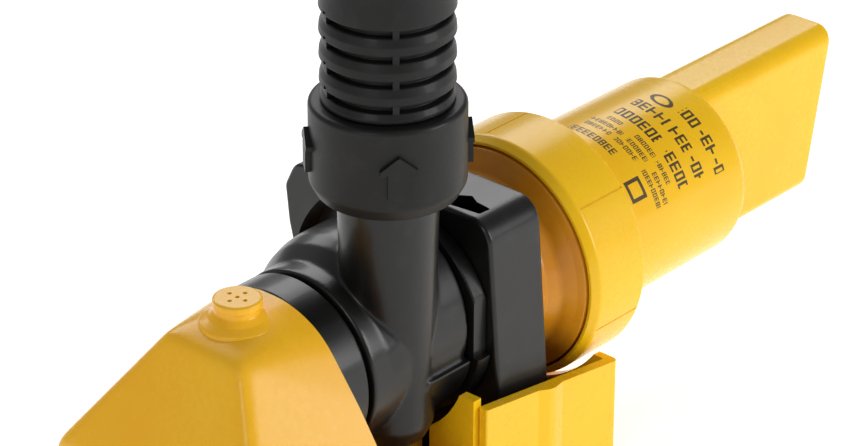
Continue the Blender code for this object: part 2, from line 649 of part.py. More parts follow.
def build_outlet():
    centre = (TUBE_X, TUBE_Y, 0.0)
    section = [(COLLAR_BOTTOM, 11.1), (COLLAR_BOTTOM, 13.2), (82.0, 14.6), (83.6, 15.9)]
    section += [(85.4, COLLAR_RADIUS), (98.4, COLLAR_RADIUS), (100.4, 16.0)]
    section += [(101.6, 15.1), (COLLAR_TOP, 14.6), (COLLAR_TOP, 12.4), (88.0, 12.4)]
    section += [(88.0, 8.6), (85.6, 8.6), (85.6, 11.1), (84.4, 11.1), (84.4, 12.3)]
    section += [(82.4, 12.3), (82.4, 11.1)]
    collar = revolve("outlet_collar", section, centre, "Z", 36)
    for index, place in enumerate(((0.643, 0.766, 92.0), (-0.643, -0.766, 92.0))):
        x = TUBE_X + 16.9 * place[0]
        y = TUBE_Y + 16.9 * place[1]
        lug = rounded_lug(place, 3.0, 1.1)
        points = [(x + u, y + v) for u, v in lug]
        join(collar, prism("lug_%d" % index, points, place[2] - 4.7, place[2] + 4.7, "Z"))
    paint(bake(collar), BLACK, 0.42)
    section = circle_section(83.4, 11.45, 0.75)
    paint(revolve("collar_o_ring", section, centre, "Z", 32), RUBBER, 0.7)
    paint(sleeve("valve_seat", 8.2, 12.1, 88.2, 89.8, centre, "Z", 36), RUBBER, 0.7)


def rounded_lug(direction, half_width, depth):
    out = Vector((direction[0], direction[1]))
    across = Vector((-direction[1], direction[0]))
    corners = (out * -depth - across * half_width, out * depth - across * half_width)
    corners += (out * depth + across * half_width, out * -depth + across * half_width)
    return [(corner.x, corner.y) for corner in corners]


def build_hose_tail():
    centre = (TUBE_X, TUBE_Y, 0.0)
    section = [(92.8, 11.0), (92.8, 12.1), (COLLAR_TOP + 0.3, 12.1), (COLLAR_TOP + 0.3, 14.3)]
    start = 106.8
    section += [(start - 1.0, 13.6), (start - 1.0, 12.5)]
    for rib in range(HOSE_RIBS):
        low = start + HOSE_PITCH * rib
        section += [(low, 12.5), (low, HOSE_RADIUS), (low + 4.3, 13.4), (low + 4.3, 12.5)]
    section = section[:-1]
    section += [(142.0, HOSE_SMALL_RADIUS - 0.3)]
    for rib in range(3):
        low = 143.0 + 4.6 * rib
        section += [(low, 9.1), (low, HOSE_SMALL_RADIUS), (low + 3.8, 9.1)]
    section += [(HOSE_TOP, 8.9), (HOSE_TOP, 7.4), (141.0, 7.4), (136.0, 11.0)]
    tail = revolve("hose_tail", section, centre, "Z", 28)
    paint(tail, BLACK, 0.45)


def build_valve():
    hinge = (TUBE_X - 9.4, TUBE_Y, 91.3)
    flap = revolve("valve_flap", [(-1.1, 0.0), (-1.1, 8.6), (0.2, 8.6), (0.2, 0.0)],
                   (TUBE_X, TUBE_Y, 91.3), "Z", 32)
    move_origin(flap, hinge)
    knuckle = rod("knuckle", 1.1, -2.2, 2.2, hinge, "Y", 16)
    join(flap, knuckle)
    bake(flap)
    cut(flap, rod("knuckle_bore", 0.65, -4.0, 4.0, hinge, "Y", 16))
    paint(bake(flap), RUBBER, 0.6)
    pin = rod("flap_pin", 0.58, -3.4, 3.4, hinge, "Y", 16)
    paint(pin, STEEL, 0.25, 1.0)


def move_origin(obj, place):
    """Puts the object's origin at a point in mm without moving its mesh."""
    target = Vector(place) * MM
    obj.data.transform(Matrix.Translation(obj.location - target))
    obj.location = target


def main():
    clear_scene()
    build_base()
    build_hood()
    build_button()
    build_inlet()
    build_volute()
    build_impeller()
    build_back_plate()
    build_block()
    build_electronics()
    build_neck_and_ring()
    build_motor_housing()
    build_motor()
    build_outlet()
    build_hose_tail()
    build_valve()


main()
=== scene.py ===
# Small submersible bilge pump: a strainer hood and tray, a wet end with an upright
# hose tail, a switch housing and a motor barrel with a tail fin.
import math

import bpy
from mathutils import Matrix, Vector


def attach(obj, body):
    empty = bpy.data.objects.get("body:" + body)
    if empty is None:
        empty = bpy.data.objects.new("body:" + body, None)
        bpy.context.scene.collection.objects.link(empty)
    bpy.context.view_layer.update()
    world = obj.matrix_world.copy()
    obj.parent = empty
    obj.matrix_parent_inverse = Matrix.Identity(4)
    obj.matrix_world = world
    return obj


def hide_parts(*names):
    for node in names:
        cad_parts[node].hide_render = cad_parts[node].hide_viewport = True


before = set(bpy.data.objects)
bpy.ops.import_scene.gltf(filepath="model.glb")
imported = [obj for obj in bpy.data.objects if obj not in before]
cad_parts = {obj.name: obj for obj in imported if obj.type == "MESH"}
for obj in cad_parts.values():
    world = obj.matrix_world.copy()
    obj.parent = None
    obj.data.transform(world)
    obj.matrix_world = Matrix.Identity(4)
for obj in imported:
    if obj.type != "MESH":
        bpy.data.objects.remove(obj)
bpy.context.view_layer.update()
print("frame loaded:", len(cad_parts), "nodes")

mm = 0.001
axisHeight = 42.0  # pump axis above the underside of the tray, in mm
pumpAxis = (0.0, 0.0, axisHeight)


# modelling helpers
def rest():
    if bpy.context.mode != "OBJECT":
        bpy.ops.object.mode_set(mode="OBJECT")
    bpy.ops.object.select_all(action="DESELECT")


def pick(obj):
    rest()
    obj.select_set(True)
    bpy.context.view_layer.objects.active = obj
    return obj


def edit(obj):
    pick(obj)
    bpy.ops.object.mode_set(mode="EDIT")
    bpy.ops.mesh.select_all(action="SELECT")


def applied(obj, kind, **settings):
    pick(obj)
    modifier = obj.modifiers.new(kind.lower(), kind)
    for key, value in settings.items():
        setattr(modifier, key, value)
    bpy.ops.object.modifier_apply(modifier=modifier.name)
    return obj


def arcPoints(before, corner, after, radius, steps):
    # the corner of an outline replaced by an arc that touches both of its sides
    toBefore = Vector(before) - Vector(corner)
    toAfter = Vector(after) - Vector(corner)
    half = toBefore.angle(toAfter) / 2
    reach = radius / math.tan(half)
    longest = 0.49 * min(toBefore.length, toAfter.length)
    if reach > longest:
        radius *= longest / reach
        reach = longest
    middle = (toBefore.normalized() + toAfter.normalized()).normalized()
    centre = Vector(corner) + middle * (radius / math.sin(half))
    start = Vector(corner) + toBefore.normalized() * reach - centre
    end = Vector(corner) + toAfter.normalized() * reach - centre
    turn = start.angle_signed(end)
    points = []
    for step in range(steps + 1):
        angle = -turn * step / steps
        x = start.x * math.cos(angle) - start.y * math.sin(angle)
        y = start.x * math.sin(angle) + start.y * math.cos(angle)
        points.append((centre.x + x, centre.y + y))
    return points


def eased(outline, steps=5):
    # an outline of (u, v) or (u, v, corner radius) points, its corners rounded
    points = []
    count = len(outline)
    for index, spot in enumerate(outline):
        if len(spot) < 3 or spot[2] <= 0:
            points.append((spot[0], spot[1]))
            continue
        before = outline[index - 1][:2]
        after = outline[(index + 1) % count][:2]
        points += arcPoints(before, spot[:2], after, spot[2], steps)
    return points


def loopOf(name, points):
    # a circle primitive with its vertices moved to the points, in mm
    rest()
    bpy.ops.mesh.primitive_circle_add(vertices=len(points), radius=mm)
    obj = bpy.context.active_object
    obj.name = name
    obj.data.name = name
    for vertex, point in zip(obj.data.vertices, points):
        vertex.co = Vector(point) * mm
    return obj


def placed(axis, along, across, up, centre):
    if axis == "X":
        return (centre[0] + along, centre[1] + across, centre[2] + up)
    if axis == "Y":
        return (centre[0] + up, centre[1] + along, centre[2] + across)
    return (centre[0] + across, centre[1] + up, centre[2] + along)


def axisVector(axis):
    return {"X": (1, 0, 0), "Y": (0, 1, 0), "Z": (0, 0, 1)}[axis]


def cleaned(obj):
    edit(obj)
    bpy.ops.mesh.remove_doubles(threshold=2e-6)
    bpy.ops.mesh.dissolve_degenerate(threshold=1e-6)
    bpy.ops.mesh.delete_loose(use_verts=True, use_edges=True, use_faces=False)
    bpy.ops.mesh.select_all(action="SELECT")
    bpy.ops.mesh.normals_make_consistent(inside=False)
    rest()
    return obj


def turned(name, outline, centre=pumpAxis, axis="X", steps=120, ease=5):
    # an outline of (along, radius, corner radius) points spun about the axis
    points = [placed(axis, along, radius, 0.0, centre) for along, radius in eased(outline, ease)]
    obj = loopOf(name, points)
    edit(obj)
    middle = [value * mm for value in centre]
    bpy.ops.mesh.spin(steps=steps, angle=2 * math.pi, center=middle, axis=axisVector(axis))
    return cleaned(obj)


def drawn(name, outline, low, high, axis="X", centre=(0, 0, 0), ease=5):
    # an outline across the axis, filled and drawn out from low to high along it
    points = [placed(axis, low, u, v, centre) for u, v in eased(outline, ease)]
    obj = loopOf(name, points)
    edit(obj)
    bpy.ops.mesh.edge_face_add()
    move = [value * (high - low) * mm for value in axisVector(axis)]
    bpy.ops.mesh.extrude_region_move(TRANSFORM_OT_translate={"value": move})
    return cleaned(obj)


def block(name, low, high):
    outline = [(low[0], low[1]), (high[0], low[1]), (high[0], high[1]), (low[0], high[1])]
    return drawn(name, outline, low[2], high[2], "Z")


def peg(name, radius, low, high, centre, axis="Z", steps=48):
    outline = [(radius * math.cos(2 * math.pi * step / steps),
                radius * math.sin(2 * math.pi * step / steps)) for step in range(steps)]
    return drawn(name, outline, low, high, axis, centre)


def combined(obj, tool, operation):
    applied(obj, "BOOLEAN", operation=operation, solver="EXACT", object=tool)
    bpy.data.objects.remove(tool, do_unlink=True)
    return obj


def cutAway(obj, *tools):
    for tool in tools:
        combined(obj, tool, "DIFFERENCE")
    return obj


def fused(obj, *tools):
    for tool in tools:
        combined(obj, tool, "UNION")
    return obj


def spunRound(obj, degrees, centre, axis):
    # turns a finished helper about an axis through centre, in its mesh
    around = Matrix.Translation(Vector(centre) * mm)
    turn = Matrix.Rotation(math.radians(degrees), 4, axis)
    obj.data.transform(around @ turn @ around.inverted())
    return obj


def softened(obj, width, segments=3, angle=32.0):
    return applied(obj, "BEVEL", width=width * mm, segments=segments, limit_method="ANGLE",
                   angle_limit=math.radians(angle), use_clamp_overlap=True, profile=0.5,
                   harden_normals=False)


def melted(obj, voxel, rounds, factor=0.5):
    # one skin over joined solids, with the inner corners filled as in a moulding
    applied(obj, "REMESH", mode="VOXEL", voxel_size=voxel * mm, adaptivity=0.0)
    return applied(obj, "SMOOTH", iterations=rounds, factor=factor)


def circleAt(x, y, z, radius, count=96):
    points = []
    for step in range(count):
        angle = 2 * math.pi * step / count
        points.append((x, y + radius * math.cos(angle), z + radius * math.sin(angle)))
    return points


def wrapped(name, points):
    obj = loopOf(name, points)
    edit(obj)
    bpy.ops.mesh.convex_hull(delete_unused=True, use_existing_faces=False, join_triangles=True)
    return cleaned(obj)


def shaded(obj, degrees):
    pick(obj)
    bpy.ops.object.shade_smooth_by_angle(angle=math.radians(degrees), keep_sharp_edges=True)
    return obj


def settled(obj, finish, slot, body, *nodes, smooth=35.0, weighted=True):
    # last step of each piece: shading, finish, and its place in the frame
    shaded(obj, smooth)
    if weighted:
        applied(obj, "WEIGHTED_NORMAL", keep_sharp=True, weight=60)
    obj.data.materials.clear()
    obj.data.materials.append(finish)
    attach(obj, body)
    if nodes:
        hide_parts(*nodes)
    rest()
    return obj


# finishes
class Wire:
    # one output socket of a finish, whose arithmetic adds Math nodes
    def __init__(self, finish, socket):
        self.finish = finish
        self.socket = socket

    def maths(self, operation, *values):
        return self.finish.node("ShaderNodeMath", {"operation": operation}, dict(enumerate(values)))

    def __add__(self, other):
        return self.maths("ADD", self, other)

    __radd__ = __add__

    def __sub__(self, other):
        return self.maths("SUBTRACT", self, other)

    def __rsub__(self, other):
        return self.maths("SUBTRACT", other, self)

    def __mul__(self, other):
        return self.maths("MULTIPLY", self, other)

    __rmul__ = __mul__

    def __truediv__(self, other):
        return self.maths("DIVIDE", self, other)

    def __gt__(self, other):
        return self.maths("GREATER_THAN", self, other)

    def __lt__(self, other):
        return self.maths("LESS_THAN", self, other)

    def size(self):
        return self.maths("ABSOLUTE", self)

    def either(self, other):
        return self.maths("MAXIMUM", self, other)


class Finish:
    def __init__(self, name, **settings):
        self.material = bpy.data.materials.new(name)
        self.material.use_nodes = True
        self.tree = self.material.node_tree
        self.shader = self.tree.nodes["Principled BSDF"]
        self.coords = self.node("ShaderNodeTexCoord", output="Object")
        for key, value in settings.items():
            self.shader.inputs[key.replace("_", " ")].default_value = value

    def node(self, kind, settings=None, inputs=None, output=0):
        made = self.tree.nodes.new(kind)
        for key, value in (settings or {}).items():
            if key == "stops":
                while len(made.color_ramp.elements) < len(value):
                    made.color_ramp.elements.new(0.5)
                for element, (place, colour) in zip(made.color_ramp.elements, value):
                    element.position = place
                    element.color = colour
            else:
                setattr(made, key, value)
        for key, value in (inputs or {}).items():
            if isinstance(value, Wire):
                self.tree.links.new(value.socket, made.inputs[key])
            else:
                made.inputs[key].default_value = value
        return Wire(self, made.outputs[output])

    def feed(self, name, wire):
        self.tree.links.new(wire.socket, self.shader.inputs[name])

    def noise(self, scale, detail=3.0, roughness=0.5, stretch=None):
        where = self.coords
        if stretch:
            where = self.node("ShaderNodeMapping", inputs={"Vector": where, "Scale": stretch})
        inputs = {"Vector": where, "Scale": scale, "Detail": detail, "Roughness": roughness}
        return self.node("ShaderNodeTexNoise", {"noise_dimensions": "3D"}, inputs)

    def ramp(self, value, low, high):
        stops = [(low, (0, 0, 0, 1)), (high, (1, 1, 1, 1))]
        return self.node("ShaderNodeValToRGB", {"stops": stops}, {0: value})

    def blend(self, mask, first, second):
        settings = {"data_type": "RGBA", "blend_type": "MIX"}
        return self.node("ShaderNodeMix", settings, {0: mask, 6: first, 7: second}, output=2)

    def bump(self, height, strength, distance):
        inputs = {"Height": height, "Strength": strength, "Distance": distance}
        self.feed("Normal", self.node("ShaderNodeBump", None, inputs))


glossYellow = {
    "base": (0.955, 0.580, 0.010, 1),
    "deep": (0.930, 0.520, 0.007, 1),
    "dust": (0.940, 0.600, 0.060, 1),
    "roughness": 0.27,
    "grain": 900.0,
}
# painted shade: the hood gets a more orange copy of the gloss yellow, standing in for the orange
# cast its faces take in shade
hoodPaintedShadeYellow = dict(glossYellow, base=(0.970, 0.535, 0.022, 1), deep=(0.960, 0.470, 0.016, 1))
# painted shade: the pump head gets a darker, browner copy of the gloss yellow, standing in for the
# shade between the switch cover and the ring
neckPaintedShadeYellow = dict(glossYellow, base=(0.800, 0.350, 0.012, 1), deep=(0.640, 0.235, 0.010, 1))


def yellowPlastic(name, values=glossYellow, marks=None):
    finish = Finish(name, Subsurface_Weight=0.06, Subsurface_Scale=0.003, Coat_Roughness=0.10,
                    Subsurface_Radius=(1.0, 0.30, 0.04), Specular_IOR_Level=0.30)
    cloud = finish.noise(26.0, 4.0, 0.6)  # slow drift of the pigment along the moulding
    streak = finish.noise(55.0, 3.0, 0.55, (0.35, 1.0, 1.0))
    speck = finish.noise(640.0, 2.0, 0.5)
    tone = finish.ramp(cloud * 0.7 + streak * 0.3, 0.36, 0.66)
    colour = finish.blend(tone, values["deep"], values["base"])
    dust = finish.ramp(speck * streak, 0.36, 0.44) * 0.08  # pale handling marks
    colour = finish.blend(dust, colour, values["dust"])
    gloss = values["roughness"] + (cloud - 0.5) * 0.10 + (speck - 0.5) * 0.06
    if marks:
        ink = marks(finish)
        colour = finish.blend(ink, colour, (0.012, 0.011, 0.012, 1))
        gloss = gloss + ink * 0.18
    finish.feed("Base Color", colour)
    finish.feed("Roughness", gloss)
    finish.feed("Coat Weight", 0.08 + (cloud - 0.5) * 0.06)
    peel = finish.noise(values["grain"], 2.0, 0.5)  # faint orange peel
    finish.bump(peel * 0.6 + cloud * 0.4, 0.05, 0.0004)
    return finish.material


def blackPlastic(name, roughness=0.34, grain=1500.0, relief=0.06, grey=0.0055, shine=0.34):
    finish = Finish(name, Specular_IOR_Level=shine, Coat_Roughness=0.12)
    cloud = finish.noise(40.0, 4.0, 0.6)
    fine = finish.noise(grain, 2.0, 0.6)
    rub = finish.ramp(finish.noise(170.0, 5.0, 0.7), 0.52, 0.72)
    colour = finish.blend(cloud, (grey * 0.8, grey * 0.8, grey * 0.78, 1),
                          (grey * 1.3, grey * 1.28, grey * 1.2, 1))
    colour = finish.blend(rub * 0.25, colour, (0.022, 0.021, 0.020, 1))
    finish.feed("Base Color", colour)
    finish.feed("Roughness", roughness + (cloud - 0.5) * 0.12 + (fine - 0.5) * 0.10)
    finish.feed("Coat Weight", shine * 0.8 - 0.12 + rub * 0.06)
    finish.bump(fine, relief, 0.00025)
    return finish.material


def rubberFinish(name):
    finish = Finish(name, IOR=1.45, Sheen_Weight=0.15)
    fine = finish.noise(1400.0, 3.0, 0.6)
    bloom = finish.ramp(finish.noise(90.0, 4.0, 0.6), 0.40, 0.70)
    colour = finish.blend(bloom, (0.010, 0.010, 0.011, 1), (0.028, 0.027, 0.027, 1))
    finish.feed("Base Color", colour)
    finish.feed("Roughness", 0.62 + (fine - 0.5) * 0.2)
    finish.bump(fine, 0.35, 0.0002)
    return finish.material


def metalFinish(name, bright, dark, roughness, stretch=(0.06, 1.0, 1.0)):
    finish = Finish(name, Metallic=1.0)
    brushed = finish.noise(900.0, 3.0, 0.6, stretch)
    stain = finish.ramp(finish.noise(120.0, 4.0, 0.6), 0.35, 0.70)
    finish.feed("Base Color", finish.blend(stain, dark, bright))
    finish.feed("Roughness", roughness + (brushed - 0.5) * 0.22 + (1 - stain) * 0.08)
    finish.bump(brushed, 0.18, 0.00015)
    return finish.material


def boardFinish(name):
    finish = Finish(name, Coat_Roughness=0.1)
    tracks = finish.node("ShaderNodeTexVoronoi", {"distance": "MANHATTAN"},
                         {"Vector": finish.coords, "Scale": 260.0})
    lines = finish.ramp(tracks, 0.36, 0.42)
    finish.feed("Base Color", finish.blend(lines, (0.010, 0.10, 0.035, 1), (0.03, 0.26, 0.09, 1)))
    finish.feed("Roughness", 0.34 + lines * 0.10)
    finish.feed("Coat Weight", 0.5 + lines * 0.1)
    finish.bump(lines, 0.3, 0.0001)
    return finish.material


def windingFinish(name):
    finish = Finish(name, Metallic=1.0)
    turns = finish.node("ShaderNodeTexWave", {"wave_type": "RINGS", "rings_direction": "X"},
                        {"Vector": finish.coords, "Scale": 520.0, "Distortion": 1.2})
    finish.feed("Base Color", finish.blend(turns, (0.28, 0.09, 0.03, 1), (0.80, 0.36, 0.16, 1)))
    finish.feed("Roughness", 0.28 + turns * 0.12)
    finish.bump(turns, 0.6, 0.0003)
    return finish.material


# figures on the barrel, placed by mm along the axis and degrees around it
barrelMarks = {
    "radius": 0.0219,
    "clear": 0.0195,  # nothing inside this radius is marked
    "cell": 3.7,  # width of a figure in degrees for each mm of half height
    # (along, half height, from, to)
    "rows": [
        (109.2, 1.75, 24.0, 38.0), (109.2, 1.75, 41.0, 57.0), (109.2, 1.75, 60.0, 69.0),
        (102.3, 1.70, 1.0, 27.0), (102.3, 1.70, 31.0, 48.0), (102.3, 1.70, 52.0, 66.0),
        (96.2, 1.70, 1.0, 34.0), (96.2, 1.70, 42.0, 66.0),
        (91.9, 0.75, 3.0, 14.0), (91.9, 0.75, 25.0, 42.0), (91.9, 0.75, 45.0, 60.0),
        (89.1, 0.75, -4.0, 20.0), (89.1, 0.75, 24.0, 42.0), (89.1, 0.75, 50.0, 70.0),
        (86.6, 0.75, -3.0, 16.0), (86.6, 0.75, 20.0, 39.0), (86.6, 0.75, 46.0, 70.0),
        (82.6, 1.15, -6.0, 29.0),
    ],
    # (along, around, outer half width, inner half width)
    "ring": (107.6, 11.0, 3.1, 2.0),
    "square": (81.6, 54.0, 2.6, 1.7),
}


def barrelInk(finish):
    values = barrelMarks
    parts = finish.node("ShaderNodeSeparateXYZ", inputs={0: finish.coords})
    axes = parts.socket.node.outputs
    along = Wire(finish, axes[0]) * 1000.0
    side = Wire(finish, axes[1])
    up = Wire(finish, axes[2]) - axisHeight * mm
    angle = side.maths("ARCTAN2", 0.0 - side, up) * (180.0 / math.pi)
    arc = math.radians(1.0) * values["radius"] * 1000.0  # mm around the barrel for a degree
    outside = (side * side + up * up) > values["clear"] ** 2
    ink = outside * 0.0
    for place, half, start, end in values["rows"]:
        height = (along - place).size() / half
        near = (angle - (start + end) / 2).size() < (end - start) / 2
        # each cell of the row holds a made-up figure of one upright and one or two bars
        cell = angle / (values["cell"] * half)
        across = cell.maths("FRACT", cell)
        step = cell.maths("FLOOR", cell)
        spin = finish.node("ShaderNodeTexWhiteNoise", {"noise_dimensions": "1D"},
                           {"W": step + place})
        upright = (across < 0.26).either((across > 0.56) * (across < 0.80) * (spin > 0.55))
        bars = ((height > 0.66) * (spin > 0.25)).either((height < 0.20) * (spin < 0.75))
        figure = upright.either(bars * (across < 0.80))
        ink = ink.either(figure * near * (height < 1.0))
    place, turn, outer, inner = values["ring"]
    away = (along - place) * (along - place) * 2.2 + (angle - turn) * (angle - turn) * arc * arc
    ink = ink.either((away < outer ** 2) * (away > inner ** 2))
    place, turn, outer, inner = values["square"]
    far = (along - place).size().either(((angle - turn) * arc).size())
    ink = ink.either((far < outer) * (far > inner))
    return ink * outside * 0.93


finishes = {
    "yellow": yellowPlastic("glossYellowPlastic"),
    "hood": yellowPlastic("hoodPaintedShadeYellowPlastic", hoodPaintedShadeYellow),
    "neck": yellowPlastic("neckPaintedShadeYellowPlastic", neckPaintedShadeYellow),
    "barrel": yellowPlastic("printedYellowPlastic", marks=barrelInk),
    "black": blackPlastic("satinBlackPlastic"),
    "matt": blackPlastic("mattBlackPlastic", 0.50, 1900.0, 0.10, 0.0075, 0.24),
    "rubber": rubberFinish("agedRubber"),
    "steel": metalFinish("brushedSteel", (0.62, 0.62, 0.63, 1), (0.42, 0.41, 0.40, 1), 0.28),
    "magnet": metalFinish("sinteredMagnet", (0.10, 0.10, 0.11, 1), (0.06, 0.06, 0.07, 1), 0.6),
    "copper": metalFinish("bareCopper", (0.78, 0.38, 0.18, 1), (0.46, 0.20, 0.09, 1), 0.3),
    "bronze": metalFinish("sinteredBronze", (0.72, 0.53, 0.25, 1), (0.45, 0.32, 0.15, 1), 0.42),
    "board": boardFinish("maskedBoard"),
    "winding": windingFinish("varnishedWinding"),
}
print("finishes made:", len(finishes))


# yellow strainer hood
hood = {
    "rear": -20.0,  # rim plane around the inlet pipe
    "middle": -2.7,  # the hood sits a little to the near side of the pump axis
    "farShare": 0.95,  # width of the half of the rim at -Y, for 1 at +Y
    "crown": [(-31.5, -7.0, 63.0), (-31.5, 1.0, 63.0)],  # ridge under the vent button
    "voxel": 0.75,
    "rounds": 34,
    "past": 10.0,  # the shell is made this much longer than its rim, then trimmed back
    "wall": 1.3,
    "foot": 2.9,
    # outer corners of the front face, then the rim, as (y, z) of one side
    "front": [(-56.7, -33.2, -3.0), (-54.0, -31.1, 31.0), (-41.1, -14.4, 60.2),
              (-41.1, 7.2, 60.2), (-54.0, 27.7, 31.9), (-56.7, 30.6, -3.0)],
    "rim": [(-36.9, -3.0), (-34.8, 30.0), (-28.4, 40.1), (-22.3, 47.9), (-18.4, 53.6),
            (-16.4, 56.0), (-14.1, 58.2), (-12.4, 59.4), (-10.7, 60.5), (-9.0, 61.4),
            (-7.0, 62.3), (-5.0, 63.0), (-2.6, 63.5)],
}


def hoodSkin():
    # the hull runs past the rim and the foot, so that melting leaves both edges crisp
    points = hood["front"] + hood["crown"]
    for y, z in hood["rim"]:
        for side in (-hood["farShare"], 1):
            points.append((hood["rear"], hood["middle"] + side * y, z))
            wider = side * y * 1.10
            higher = z + 0.05 * max(z - 30, 0)
            points.append((hood["rear"] + hood["past"], hood["middle"] + wider, higher))
    shell = wrapped("strainerHood", points)
    return melted(shell, hood["voxel"], hood["rounds"])


def trimmed(obj, place, normal):
    edit(obj)
    bpy.ops.mesh.bisect(plane_co=[value * mm for value in place], plane_no=normal,
                        use_fill=False, clear_outer=True, threshold=1e-6)
    rest()
    return obj


strainerHood = hoodSkin()
trimmed(strainerHood, (hood["rear"], 0, 0), (1, 0, 0))
trimmed(strainerHood, (0, 0, hood["foot"]), (0, 0, -1))
applied(strainerHood, "SOLIDIFY", thickness=hood["wall"] * mm, offset=-1.0, use_even_offset=True,
        use_rim=True)
for slot in range(4):
    x = -47.0 + 6.5 * slot
    cutAway(strainerHood, block("slot", (x, -50, 8.0), (x + 2.6, 50, 22.0)))
for slot in range(5):
    y = -22.3 + 10.4 * slot
    cutAway(strainerHood, block("slot", (-62, y, 8.0), (-50, y + 3.0, 22.0)))
# the hood's finish is the more orange copy of the yellow, painted shade
settled(strainerHood, finishes["hood"], "yellow", "hood", "strainer_hood", smooth=28.0)
print("strainer hood made")


# vent button on the hood
vent = {"x": -29.6, "y": -2.7, "holes": ((0, 0), (2.25, 0), (-2.25, 0), (0, 2.25), (0, -2.25))}
ventOutline = [(60.0, 0), (60.0, 8.4), (62.2, 8.2, 0.8), (63.2, 6.2, 1.6), (64.4, 4.8, 0.8),
               (65.6, 4.75, 0.2), (65.7, 5.2, 0.2), (67.2, 5.2, 0.4), (67.4, 4.6, 0.3), (67.4, 0)]
ventButton = turned("ventButton", ventOutline, (vent["x"], vent["y"], 0), "Z", 72)
for x, y in vent["holes"]:
    cutAway(ventButton, peg("hole", 0.5, 65.9, 69.0, (vent["x"] + x, vent["y"] + y, 0), "Z", 20))
settled(ventButton, finishes["hood"], "yellow", "hood", "vent_button")


# inlet pipe
pipe = {"radius": 20.6, "front": -19.6, "groove": 19.3}
pipeOutline = [(pipe["front"], 18.2), (pipe["front"], 19.3, 0.3), (-18.2, 19.3),
               (-18.1, 20.2, 0.1), (-17.3, pipe["radius"], 0.25), (-9.5, pipe["radius"], 0.25),
               (-9.4, pipe["groove"]), (-8.25, pipe["groove"]), (-8.25, 18.2)]
inletPipe = turned("inletPipe", pipeOutline, steps=180)
settled(inletPipe, finishes["black"], "black", "pump", "inlet_pipe")
print("inlet made")


# volute with its outlet tube
volute = {
    "tubeX": 6.8,
    "tubeY": -11.2,
    "offset": (0.73, 3.07),  # centre of the full spiral circle, across and above the axis
    "neck": 20.6,
    "growth": 1.03,
    "voxel": 0.40,
    "rounds": 6,
}
tubeOutline = [(20.4, 0), (20.8, 4.4, 3.0), (22.8, 8.0, 3.0), (27.0, 9.9, 5.0), (42.0, 10.05),
               (76.6, 10.7), (85.2, 10.5), (85.2, 0)]
tubeAxis = (volute["tubeX"], volute["tubeY"], 0.0)


# a round neck, then a spiral body whose circle moves off the axis as it grows
def spiralAt(x, share):
    across, above = volute["offset"]
    radius = volute["neck"] + volute["growth"] * share
    return circleAt(x, across * share, axisHeight + above * share, radius)


neckOutline = [(-7.9, 0), (-7.9, 20.35), (-7.5, 20.75), (20.0, 20.75), (20.0, 0)]
voluteCasing = turned("voluteCasing", neckOutline, steps=144)
band = peg("lowerBand", 22.1, 8.0, 21.7, pumpAxis, "X", 144)
cutAway(band, block("upper", (6, -30, 38.0), (24, 30, 70)))
spiral = []
for x, share in ((-3.2, 0.0), (-1.0, 0.35), (1.0, 0.68), (4.0, 0.92), (7.0, 1.0), (21.5, 1.0)):
    spiral += spiralAt(x, share)
fused(voluteCasing, wrapped("spiralBody", spiral), band,
      turned("tube", tubeOutline, tubeAxis, "Z", 96))
cutAway(voluteCasing, peg("chamber", 18.0, 1.53, 24, pumpAxis, "X", 96),
        peg("bore", 8.0, 50, 90, tubeAxis, "Z", 72))
melted(voluteCasing, volute["voxel"], volute["rounds"])
settled(voluteCasing, finishes["black"], "black", "pump", "volute_casing", smooth=50.0,
        weighted=False)
print("volute made:", len(voluteCasing.data.polygons), "faces")


# back plate of the wet end
plate = {"y": 0.3, "z": axisHeight + 0.3, "radius": 24.0}
plateRims = []
for x, inset in ((22.3, 0.3), (22.6, 0.0), (25.8, 0.0), (26.2, 0.4)):
    plateRims += circleAt(x, plate["y"], plate["z"], plate["radius"] - inset)
backPlate = wrapped("backPlate", plateRims)
fused(backPlate, peg("spigot", 18.1, 16.2, 23.0, pumpAxis, "X", 144))
cutAway(backPlate, peg("shaftHole", 2.8, 14, 24, pumpAxis, "X", 48),
        peg("sealSeat", 8.3, 19.0, 27, pumpAxis, "X", 64),
        drawn("ledge", [(-30, 38.2), (-21.7, 38.2), (-21.7, 70), (-30, 70)], 21.0, 30.0))
for degrees in (90, 210, 330):
    y = 20.5 * math.cos(math.radians(degrees))
    z = axisHeight + 20.5 * math.sin(math.radians(degrees))
    cutAway(backPlate, peg("hole", 1.05, 20, 25, (0, y, z), "X", 24),
            peg("sink", 2.0, 24.7, 27.2, (0, y, z), "X", 32))
settled(backPlate, finishes["black"], "black", "pump", "back_plate")


# switch housing
housing = {
    "front": 26.5,
    "rear": 41.0,
    "foot": 27.4,
    "shoulder": 22.0,
    "base": 3.2,
    "top": 69.0,
    "topCorner": 6.0,
    "edge": 3.6,
}


def housingOutline(inset):
    foot = housing["foot"] - inset
    shoulder = housing["shoulder"] - inset
    top = housing["top"] - inset
    corner = max(housing["topCorner"] - inset, 1.0)
    return [(-foot, housing["base"] + inset, 1.0), (foot, housing["base"] + inset, 1.0),
            (shoulder, top, corner), (-shoulder, top, corner)]


def edgesNear(obj, test):
    # selects the edges whose two ends pass the test, given their places in mm
    edit(obj)
    bpy.ops.mesh.select_all(action="DESELECT")
    rest()
    pick(obj)
    for edge in obj.data.edges:
        ends = [obj.data.vertices[index].co / mm for index in edge.vertices]
        edge.select = all(test(end) for end in ends)
    bpy.ops.object.mode_set(mode="EDIT")
    bpy.ops.mesh.select_mode(type="EDGE")


def edgeRounded(obj, test, width, segments=6):
    edgesNear(obj, test)
    bpy.ops.mesh.bevel(offset=width * mm, segments=segments, affect="EDGES", profile=0.5,
                       clamp_overlap=True)
    bpy.ops.mesh.select_mode(type="VERT")
    rest()
    return obj


switchHousing = drawn("switchHousing", housingOutline(0.0), housing["front"], housing["rear"],
                      "X", ease=9)
edgeRounded(switchHousing, lambda spot: abs(spot.x - housing["front"]) < 0.01, housing["edge"])
